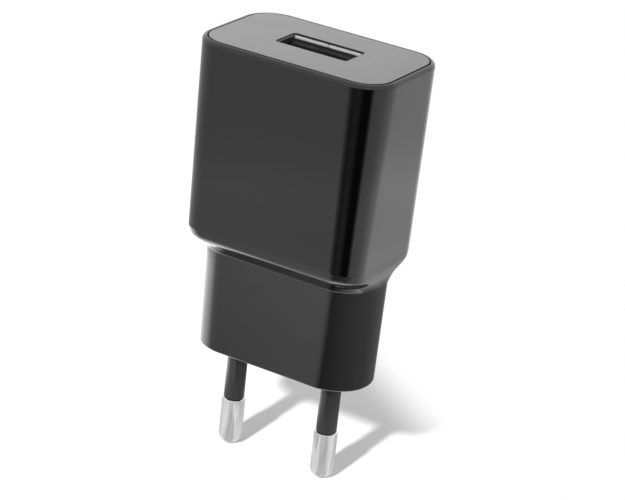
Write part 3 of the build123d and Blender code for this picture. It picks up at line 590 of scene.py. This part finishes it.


def shell_steel(name):
    """Satin nickel-plated sheet, with painted shade darkening it deep inside and on the end walls;
    upward-facing sheared edges dull.
    """
    material, tree, shader = new_material(name)
    geometry = tree.nodes.new("ShaderNodeNewGeometry")
    facing_x, _, facing_z = components(tree, geometry.outputs["True Normal"])
    z = components(tree, geometry.outputs["Position"])[2]
    grain = noise(tree, 0.15, 3, (0.12, 1, 1))
    tint = ramp(tree, grain, ((0.3, (0.66, 0.66, 0.65)), (0.7, (0.76, 0.76, 0.75))))
    # painted shade: the shell darkens with depth below the mouth
    unshaded_near_mouth = map_range(tree, z, (TOP_Z - SHADED_BELOW) * MM, (TOP_Z - UNSHADED_ABOVE) * MM)
    tint = blend(tree, unshaded_near_mouth, 0.03, tint)
    # painted shade: the end walls, which the light only grazes, are darkened
    end_wall_shade = map_range(tree, math_node(tree, "ABSOLUTE", facing_x), 0.5, 0.8)
    tint = blend(tree, end_wall_shade, tint, 0.06)
    sheared = map_range(tree, facing_z, 0.7, 0.9)
    tree.links.new(blend(tree, sheared, tint, 0.10), shader.inputs["Base Color"])
    shader.inputs["Metallic"].default_value = 0.55
    shader.inputs["Specular IOR Level"].default_value = 0.2
    rough = ramp(tree, noise(tree, 2.0, 2), ((0.3, 0.34), (0.7, 0.42)))
    tree.links.new(rough, shader.inputs["Roughness"])
    bump(tree, shader, grain, 0.08, 0.01)
    return material


def copper_wire(name):
    """Rows of enamelled turns round a coil, with painted shade in the grooves between turns."""
    material, tree, shader = new_material(name)
    shader.inputs["Metallic"].default_value = 0.9
    shader.inputs["Roughness"].default_value = 0.3
    shader.inputs["Coat Weight"].default_value = 0.6
    turns = add(tree, "ShaderNodeTexWave", Scale=1 / (0.9 * MM), Distortion=0.4)
    tree.links.new(object_point(tree), turns.inputs["Vector"])
    # painted shade: the copper darkens in the grooves between turns
    tint = ramp(tree, turns.outputs["Fac"], ((0.1, (0.30, 0.11, 0.045)), (0.7, (0.78, 0.36, 0.17))))
    tree.links.new(tint, shader.inputs["Base Color"])
    bump(tree, shader, turns.outputs["Fac"], 0.6, 0.05)
    return material


def board_laminate(name):
    """Green solder mask, paler over the copper areas."""
    material, tree, shader = new_material(name)
    tracks = add(tree, "ShaderNodeTexVoronoi", feature="DISTANCE_TO_EDGE", Scale=1 / (3.2 * MM))
    tree.links.new(object_point(tree), tracks.inputs["Vector"])
    stops = ((0.02, (0.02, 0.10, 0.045)), (0.07, (0.045, 0.20, 0.09)))
    tint = ramp(tree, tracks.outputs["Distance"], stops)
    tree.links.new(tint, shader.inputs["Base Color"])
    shader.inputs["Roughness"].default_value = 0.32
    bump(tree, shader, tracks.outputs["Distance"], 0.25, 0.03)
    return material


STRIPE_SPAN = 20              # distance from the middle of the charger that the stripe's ramp covers


def capacitor_sleeve(name):
    """Navy film sleeve with a pale polarity stripe on the side away from the charger's middle."""
    material, tree, shader = new_material(name)
    x = components(tree, object_point(tree, (1 / MM, 1 / MM, 1 / MM)))[0]
    outwards = map_range(tree, math_node(tree, "ABSOLUTE", x), 0, STRIPE_SPAN)
    navy, pale = (0.018, 0.028, 0.07), (0.42, 0.44, 0.47)
    stops = ((0.0, navy), (0.655, navy), (0.66, pale), (1.0, pale))
    tint = ramp(tree, outwards, stops)
    tree.links.new(tint, shader.inputs["Base Color"])
    rough = ramp(tree, noise(tree, 1.5, 3), ((0.3, 0.2), (0.7, 0.34)))
    tree.links.new(rough, shader.inputs["Roughness"])
    bump(tree, shader, noise(tree, 0.8, 2), 0.12, 0.02)
    return material


SURFACES = {
    "sleeve_plastic": dict(colour=(0.012, 0.012, 0.013), roughness=0.28, grain_mm=0.25, variation=0.2),
    "spring_bronze": dict(colour=(0.60, 0.36, 0.16), roughness=0.3, metallic=1.0, stretch=(1, 1, 0.15)),
    "solder": dict(colour=(0.62, 0.62, 0.64), roughness=0.25, metallic=1.0, grain_mm=0.5, relief=0.3),
    "tinned_wire": dict(colour=(0.66, 0.66, 0.67), roughness=0.22, metallic=1.0, grain_mm=0.2),
    "resistor_cement": dict(colour=(0.16, 0.19, 0.22), roughness=0.7, grain_mm=0.15, relief=0.4),
    "ferrite": dict(colour=(0.028, 0.028, 0.031), roughness=0.55, grain_mm=0.1, variation=0.4, relief=0.3),
    "insulated_wire": dict(colour=(0.62, 0.42, 0.10), roughness=0.3, grain_mm=0.4, stretch=(4, 1, 1)),
    "moulding_epoxy": dict(colour=(0.012, 0.012, 0.013), roughness=0.5, grain_mm=0.1, relief=0.3),
    "bobbin_plastic": dict(colour=(0.02, 0.02, 0.021), roughness=0.4, grain_mm=0.3),
    "yellow_tape": dict(colour=(0.80, 0.52, 0.04), roughness=0.25, grain_mm=1.2, stretch=(1, 0.2, 0.2)),
    "blue_ceramic": dict(colour=(0.03, 0.13, 0.42), roughness=0.3, grain_mm=0.8, relief=0.3),
    "chip_resistor_body": dict(colour=(0.015, 0.015, 0.017), roughness=0.25, grain_mm=0.2),
    "chip_capacitor_body": dict(colour=(0.30, 0.21, 0.12), roughness=0.5, grain_mm=0.15, variation=0.2),
    "fibre_card": dict(colour=(0.36, 0.31, 0.24), roughness=0.8, grain_mm=0.25, variation=0.25, relief=0.4),
    "tongue_plastic": dict(colour=(0.004, 0.004, 0.0042), roughness=0.55, grain_mm=0.12, relief=0.1,
                           ior=1.15),
    "gold_plate": dict(colour=(0.80, 0.56, 0.22), roughness=0.2, metallic=1.0, grain_mm=0.3),
}
SPECIAL = {
    "gloss_black_plastic": gloss_black_plastic,
    "satin_black_plastic": satin_black_plastic,
    "nickel_plate": nickel_plate,
    "shell_steel": shell_steel,
    "copper_wire": copper_wire,
    "board_laminate": board_laminate,
    "capacitor_sleeve": capacitor_sleeve,
}


def make_materials():
    materials = {}
    for entry in frame["record"]["materials"]:
        name = entry["slot"]
        materials[name] = SPECIAL[name](name) if name in SPECIAL else surface(name, **SURFACES[name])
    return materials


MATERIALS = make_materials()
NODE_SLOT = {part["node"]: part["material_slot"] for part in frame["record"]["subparts"]}


def dress(piece, slot_name):
    piece.data.materials.clear()
    piece.data.materials.append(MATERIALS[slot_name])


def stand_for(piece, node):
    """The piece rides with the charger's body in place of a CAD node and takes that node's finish."""
    dress(piece, NODE_SLOT[node])
    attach(piece, BODY)
    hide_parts(node)


for node_name, node_object in frame["nodes"].items():
    dress(node_object, NODE_SLOT[node_name])

stand_for(make_housing(), "housing")
stand_for(make_face_plate(), "face_plate")
for side, x in (("left", -PIN_X), ("right", PIN_X)):
    stand_for(make_pin(f"pin_{side}_turned", x), f"pin_{side}")
    stand_for(make_sleeve(f"sleeve_{side}_moulded", x), f"sleeve_{side}")


# ---------- stage ----------
FLOOR_SIZE_M = 6.0
FLOOR_ALBEDO = 0.85
FADE_DIRECTION = (0.6, 0.8, 0.0)   # across the floor, along which it turns into painted white glow that fades out the cast shadow
FADE_START = 0.0235                # metres
FADE_END = 0.0365
SKY_FOR_CAMERA = 1.0
SKY_FOR_LIGHTING = 0.70
SKY_FOR_REFLECTIONS = 1.25
SUN_STRENGTH = 4.0
SUN_AZIMUTH = 0.0          # degrees from -Y towards +X, where the key light stands
SUN_ELEVATION = 33.7
SUN_SOFTNESS = 4.0         # degrees
NEAR_RADIUS = 0.088        # metres; the floor's reflection changes between these two distances
FAR_RADIUS = 0.104
# Brightness of the floor as the gloss reflects it, by azimuth in degrees from -Y towards +X: a bright
# patch close by on the left, a dark gap where the camera stands, bright floor behind on the right. It is
# painted to suit this scene's camera, so gloss seen from far above looks too bright.
NEAR_FLOOR = ((-180, 0.35), (-150, 1.3), (-115, 3.2), (-74, 3.0), (-58, 1.1), (-40, 1.05), (-20, 1.35),
              (-8, 1.3), (0, 0.9), (8, 0.3), (18, 0.33), (42, 0.47), (60, 0.55), (90, 0.65), (135, 0.5),
              (155, 0.35))
FAR_FLOOR = ((-180, 1.3), (-120, 0.8), (-60, 0.9), (-30, 1.13), (-16, 1.1), (-8, 0.45), (2, 0.13),
             (10, 0.2), (20, 0.24), (28, 0.08), (34, 0.0), (50, 0.0), (56, 0.16), (63, 1.1), (90, 1.2),
             (112, 1.45), (135, 1.45), (150, 1.3))
PIN_FLOOR = ((-180, 0.65), (-110, 0.7), (-50, 0.95), (-20, 0.9), (5, 0.64), (52, 0.64), (68, 0.95),
             (95, 0.95), (140, 0.65))
BRIGHTEST = 5.0            # what white stands for in those scales
RADIAL_SPAN = 0.2          # metres, the distance that 1 stands for in RADIAL
RADIAL = ((0.225, 0.87), (0.425, 1.08), (0.575, 0.97), (0.69, 1.05), (0.80, 0.90), (0.88, 0.85))
RADIAL_MAX = 1.25
PIN_HEIGHT = (0.010, 0.014)        # metres above the floor, between the pins' metal and all the rest
FLARE_HEIGHT = (0.0368, 0.0385)    # seen from the flare, on the right, the floor is as bright as from above
FLARE_RIGHT_X = (0.014, 0.026)
FLARE_BESIDE_Y = (-0.030, -0.018)
STEEP = (0.86, 0.985)              # sine of a ray's elevation: brighter from the first, fully at the second
STEEP_FLOOR = 3.0


def azimuth_scale(tree, x, y, stops):
    """Brightness against the azimuth of (x, y), as a colour ramp that stands for 0..BRIGHTEST."""
    angle = math_node(tree, "ARCTAN2", x, math_node(tree, "MULTIPLY", y, -1))
    places = [((angle_stop + 180) / 360, value / BRIGHTEST) for angle_stop, value in stops]
    return ramp(tree, map_range(tree, angle, -math.pi, math.pi), places)


def reflected_floor(tree, x, y, incoming_z):
    """The floor as the gloss sees it: by direction, by distance, by steepness, and apart for the pins."""
    square = math_node(tree, "ADD", math_node(tree, "POWER", x, 2), math_node(tree, "POWER", y, 2))
    distance = math_node(tree, "SQRT", square)
    rays = tree.nodes.new("ShaderNodeLightPath")
    height = math_node(tree, "MULTIPLY", rays.outputs["Ray Length"], incoming_z)
    by_distance = map_range(tree, distance, NEAR_RADIUS, FAR_RADIUS, "SMOOTHSTEP")
    on_right = map_range(tree, x, FLARE_RIGHT_X[0], FLARE_RIGHT_X[1], "SMOOTHSTEP")
    beside = map_range(tree, y, FLARE_BESIDE_Y[0], FLARE_BESIDE_Y[1], "SMOOTHSTEP")
    from_flare = map_range(tree, height, FLARE_HEIGHT[0], FLARE_HEIGHT[1], "SMOOTHSTEP")
    from_flare = math_node(tree, "MULTIPLY", from_flare, beside)
    by_flare = math_node(tree, "MULTIPLY", on_right, from_flare)
    far_share = math_node(tree, "MAXIMUM", by_distance, by_flare)
    near, far = azimuth_scale(tree, x, y, NEAR_FLOOR), azimuth_scale(tree, x, y, FAR_FLOOR)
    floor = blend(tree, far_share, near, far)
    stops = [(place, value / RADIAL_MAX) for place, value in RADIAL]
    radial = ramp(tree, map_range(tree, distance, 0, RADIAL_SPAN), stops)
    lifted = add(tree, "ShaderNodeVectorMath", operation="SCALE")
    lifted.inputs["Scale"].default_value = RADIAL_MAX
    tree.links.new(product(tree, floor, radial), lifted.inputs[0])
    steep_share = map_range(tree, incoming_z, STEEP[0], STEEP[1], "SMOOTHSTEP")
    floor = blend(tree, steep_share, lifted.outputs["Vector"], STEEP_FLOOR / BRIGHTEST)
    body_share = map_range(tree, height, PIN_HEIGHT[0], PIN_HEIGHT[1])
    pin_offset = math_node(tree, "MULTIPLY", math_node(tree, "SIGN", x), PIN_X * MM)
    by_pin = azimuth_scale(tree, math_node(tree, "SUBTRACT", x, pin_offset), y, PIN_FLOOR)
    return blend(tree, body_share, by_pin, floor)


def floor_material():
    """Pale matt paper to diffuse light; to the camera it glows painted white beyond a line, fading out the
    cast shadow; a painted studio floor to reflections.
    """
    material, tree, shader = new_material("pale_floor")
    tone = ramp(tree, noise(tree, 60.0, 2), ((0.3, FLOOR_ALBEDO * 0.99), (0.7, FLOOR_ALBEDO)))
    tree.links.new(tone, shader.inputs["Base Color"])
    shader.inputs["Roughness"].default_value = 0.9
    shader.inputs["Specular IOR Level"].default_value = 0.0
    geometry = tree.nodes.new("ShaderNodeNewGeometry")
    x, y, _ = components(tree, geometry.outputs["Position"])
    incoming_z = components(tree, geometry.outputs["Incoming"])[2]
    along = add(tree, "ShaderNodeVectorMath", operation="DOT_PRODUCT")
    along.inputs[1].default_value = FADE_DIRECTION
    tree.links.new(geometry.outputs["Position"], along.inputs[0])
    # painted light: beyond this line the floor glows white to the camera, and the cast shadow fades out
    fade = map_range(tree, along.outputs["Value"], FADE_START, FADE_END, "SMOOTHSTEP")
    white = add(tree, "ShaderNodeEmission", Strength=SKY_FOR_CAMERA)
    faded = tree.nodes.new("ShaderNodeMixShader")
    rays = tree.nodes.new("ShaderNodeLightPath")
    tree.links.new(math_node(tree, "MULTIPLY", fade, rays.outputs["Is Camera Ray"]), faded.inputs["Fac"])
    tree.links.new(shader.outputs["BSDF"], faded.inputs[1])
    tree.links.new(white.outputs["Emission"], faded.inputs[2])
    seen = reflected_floor(tree, x, y, incoming_z)
    glow = add(tree, "ShaderNodeEmission", Strength=BRIGHTEST)
    tree.links.new(seen, glow.inputs["Color"])
    choice = tree.nodes.new("ShaderNodeMixShader")
    tree.links.new(rays.outputs["Is Glossy Ray"], choice.inputs["Fac"])
    tree.links.new(faded.outputs["Shader"], choice.inputs[1])
    tree.links.new(glow.outputs["Emission"], choice.inputs[2])
    output = tree.nodes["Material Output"]
    tree.links.new(choice.outputs["Shader"], output.inputs["Surface"])
    return material


def make_floor():
    """A level plane that the pins' tips touch."""
    bm = bmesh.new()
    half = FLOOR_SIZE_M / 2
    corners = ((-half, -half), (half, -half), (half, half), (-half, half))
    bm.faces.new([bm.verts.new((x, y, PIN_TIP_Z * MM)) for x, y in corners])
    floor = finish_mesh(bm, "studio_floor")
    floor.data.materials.append(floor_material())


def make_world():
    """A white studio all round, at one strength for the camera, another for light, another for gloss."""
    world = bpy.data.worlds.new("white_studio")
    world.use_nodes = True
    tree = world.node_tree
    background = tree.nodes["Background"]
    background.inputs["Color"].default_value = (1, 1, 1, 1)
    rays = tree.nodes.new("ShaderNodeLightPath")
    camera_or_light = add(tree, "ShaderNodeMapRange")
    camera_or_light.inputs["To Min"].default_value = SKY_FOR_LIGHTING
    camera_or_light.inputs["To Max"].default_value = SKY_FOR_CAMERA
    tree.links.new(rays.outputs["Is Camera Ray"], camera_or_light.inputs["Value"])
    strength = add(tree, "ShaderNodeMapRange")
    strength.inputs["To Max"].default_value = SKY_FOR_REFLECTIONS
    tree.links.new(rays.outputs["Is Glossy Ray"], strength.inputs["Value"])
    tree.links.new(camera_or_light.outputs["Result"], strength.inputs["To Min"])
    tree.links.new(strength.outputs["Result"], background.inputs["Strength"])
    bpy.context.scene.world = world


def direction(azimuth, elevation):
    """A unit vector from azimuth and elevation in degrees, azimuth from -Y towards +X."""
    az, el = math.radians(azimuth), math.radians(elevation)
    return Vector((math.sin(az) * math.cos(el), -math.cos(az) * math.cos(el), math.sin(el)))


def make_key_light():
    light = bpy.data.lights.new("key_light", "SUN")
    light.energy = SUN_STRENGTH
    light.angle = math.radians(SUN_SOFTNESS)
    lamp = bpy.data.objects.new("key_light", light)
    bpy.context.scene.collection.objects.link(lamp)
    lamp.visible_glossy = False
    lamp.rotation_euler = direction(SUN_AZIMUTH, SUN_ELEVATION).to_track_quat("Z", "Y").to_euler()


# ---------- camera ----------
SENSOR_MM = 36.0
LENS_MM = 138.31
CAMERA_AZIMUTH = 28.78
CAMERA_ELEVATION = 22.94
CAMERA_ROLL = 6.31
CAMERA_DISTANCE = 394.5
AIM_Z = 15.0
AIM_RIGHT = 2.96              # how far the camera's axis passes from the aim point, to its right and up
AIM_UP = 4.12
CLIP_START_M = 0.01


def make_camera():
    back = direction(CAMERA_AZIMUTH, CAMERA_ELEVATION)
    level_right = Vector((0, 0, 1)).cross(back).normalized()
    level_up = back.cross(level_right)
    roll = math.radians(CAMERA_ROLL)
    right = level_right * math.cos(roll) + level_up * math.sin(roll)
    up = level_up * math.cos(roll) - level_right * math.sin(roll)
    place = Vector((0, 0, AIM_Z)) + back * CAMERA_DISTANCE + right * AIM_RIGHT + up * AIM_UP
    camera = bpy.data.cameras.new("camera")
    camera.sensor_width = SENSOR_MM
    camera.lens = LENS_MM
    camera.clip_start = CLIP_START_M
    holder = bpy.data.objects.new("camera", camera)
    bpy.context.scene.collection.objects.link(holder)
    axes = Matrix((right, up, back)).transposed().to_4x4()
    holder.matrix_world = Matrix.Translation(place * MM) @ axes
    bpy.context.scene.camera = holder


make_floor()
make_world()
make_key_light()
make_camera()
bpy.context.scene.view_settings.view_transform = "Standard"
